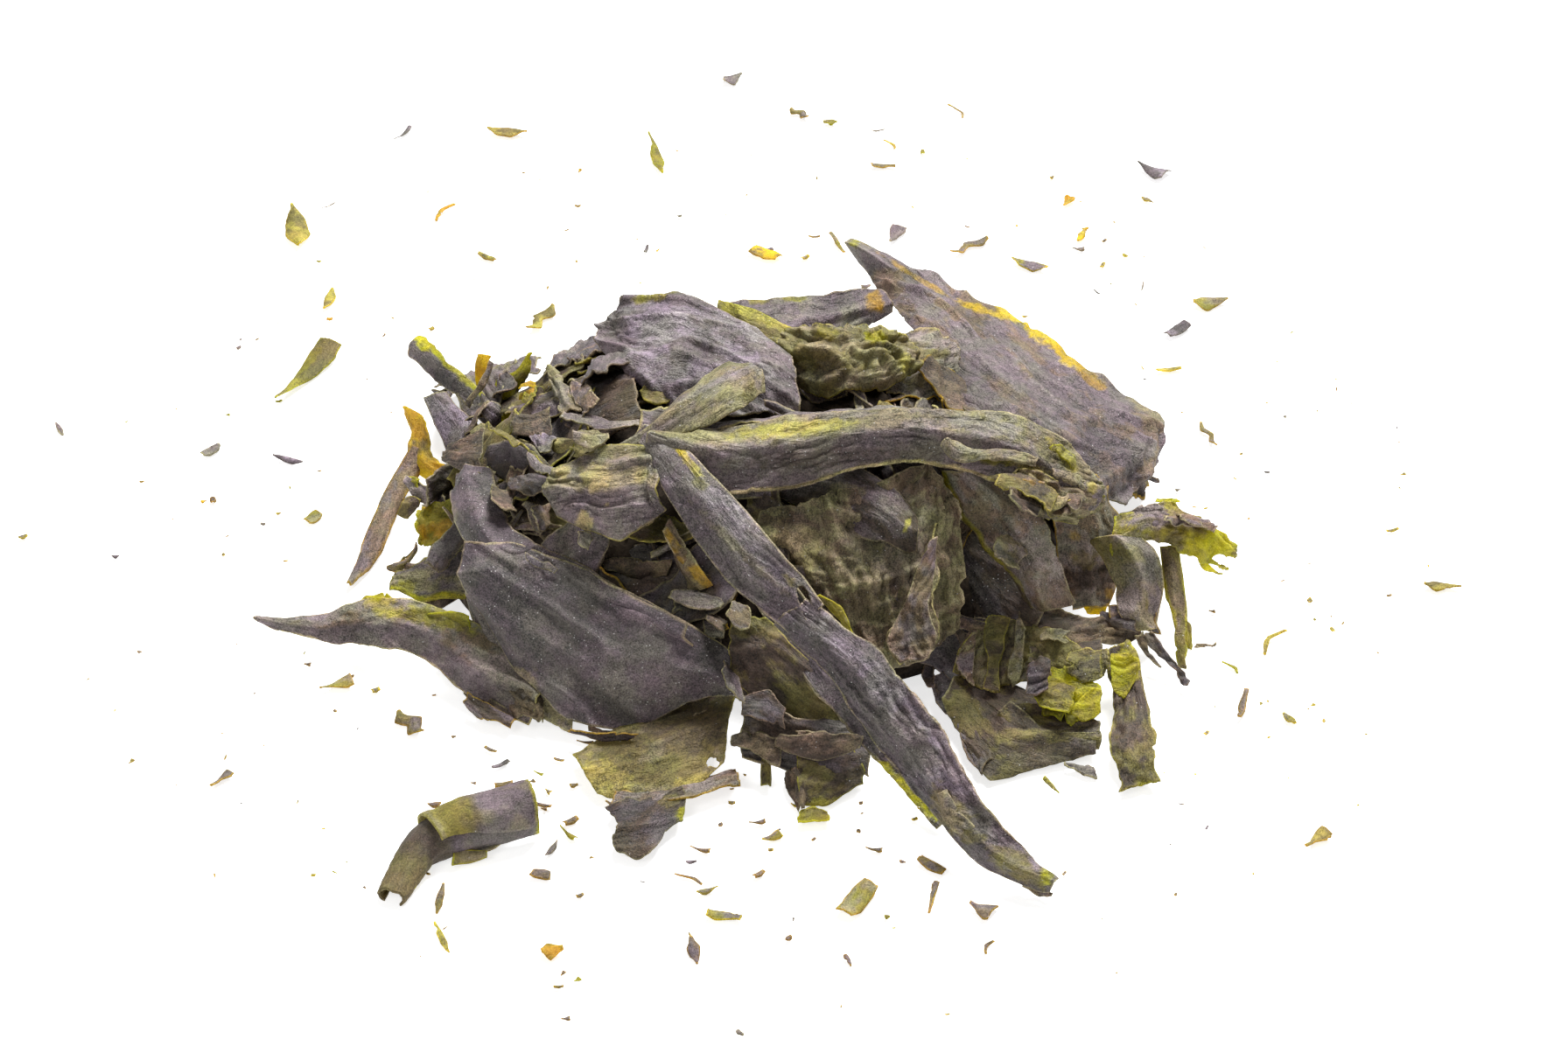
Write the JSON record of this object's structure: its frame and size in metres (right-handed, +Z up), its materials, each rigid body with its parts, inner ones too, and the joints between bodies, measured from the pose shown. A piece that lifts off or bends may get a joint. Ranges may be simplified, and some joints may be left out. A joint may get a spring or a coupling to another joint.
{
  "type": "dried wakame heap",
  "caption": "Loose heap of dried wakame seaweed leaves: dark, wavy, brittle blades folded over each other, with a rolled leaf and torn flakes scattered on the surface round it.",
  "frame": {"origin": "on the surface that the heap lies on, at the middle of the whole scatter's outline", "axes": "+Z up, +X to the right and +Y away from the viewer, as seen from the side where the long folded blade comes down to the surface"},
  "size_m": [0.2811, 0.2984, 0.0492],
  "materials": {
    "dark": "matt dark purple-grey dried leaf with a faint satin sheen and fine salt specks",
    "grey": "matt purple-grey dried leaf flake",
    "olive": "matt olive dried leaf, slightly translucent",
    "green": "translucent yellow-green dried leaf flake",
    "yellow": "translucent yellow dried leaf flake",
    "amber": "translucent amber dried leaf flake",
    "brown": "matt brown dried leaf flake"
  },
  "bodies": {
    "root": {"wakame_heap": "dark", "rolled_leaf": "olive", "flake_far_top": "grey", "flake_far_pair": "olive", "flake_far_green": "green", "flake_far_hook": "olive", "flake_far_right_bent": "olive", "flake_far_dash": "olive", "flake_far_grey_plate": "grey", "flake_far_right_chip": "olive", "flake_far_left_boat": "yellow", "flake_far_strip": "green", "flake_left_far_leaf": "yellow", "flake_left_far_hook": "amber", "flake_left_seed": "yellow", "flake_left_gold": "yellow", "flake_left_wing": "green", "flake_left_curl": "yellow", "flake_back_gold": "amber", "flake_back_plum": "grey", "flake_back_rod": "olive", "flake_right_branch": "olive", "flake_right_wavy": "olive", "flake_right_triangle": "amber", "flake_right_tall_chip": "amber", "flake_right_kite": "olive", "flake_right_knob": "grey", "flake_right_bar": "yellow", "flake_right_pair": "olive", "flake_right_far_kite": "yellow", "flake_right_curl": "yellow", "flake_right_green_hook": "green", "flake_right_brown_rod": "brown", "flake_right_small_green": "olive", "flake_right_low_wedge": "yellow", "flake_near_left_wedge": "brown", "flake_left_dark_plate": "olive", "flake_left_dark_crown": "olive", "flake_left_brick": "grey", "flake_left_splinter": "grey", "flake_left_far_end": "grey", "flake_left_tip_end": "olive", "flake_left_mid_chip": "olive", "flake_near_lobe": "olive", "flake_near_lobe_tip": "yellow", "flake_near_brown_plate": "brown", "flake_near_gold": "amber", "flake_near_star": "brown", "flake_near_leaf": "olive", "flake_near_shield": "olive", "flake_near_spike": "brown", "flake_near_plum": "brown", "flake_near_seed": "olive", "flake_near_hinge": "brown", "flake_near_thorn": "brown", "flake_near_left_prism": "grey", "flake_near_chip": "olive", "flake_near_bracket": "brown", "flake_near_edge": "grey"}
  },
  "joints": []
}
